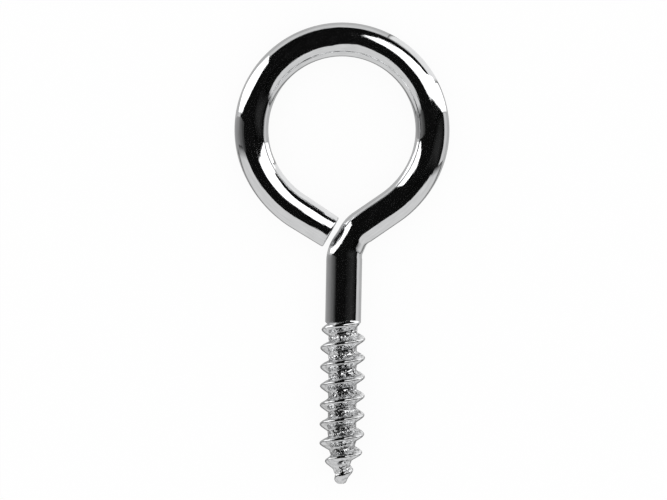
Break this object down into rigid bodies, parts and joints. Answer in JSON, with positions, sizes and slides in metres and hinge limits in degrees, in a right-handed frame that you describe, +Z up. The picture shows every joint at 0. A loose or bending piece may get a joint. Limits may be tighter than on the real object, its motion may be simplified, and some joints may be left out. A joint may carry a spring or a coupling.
{
  "type": "screw eye",
  "caption": "Steel wire screw eye: a round eye bent on a short smooth shank with a pointed wood-screw thread, lying on its side.",
  "frame": {"origin": "centre of the bounding box in plan, on the surface the screw eye lies on", "axes": "+Y along the shank from the point towards the eye, +Z up out of the surface, +X to the right seen from above with the eye at the top"},
  "size_m": [0.028, 0.0602, 0.0061],
  "materials": {
    "plated_steel": "bright plated, slightly uneven on the thread"
  },
  "bodies": {
    "root": {"screw_eye": "plated_steel"}
  },
  "joints": []
}
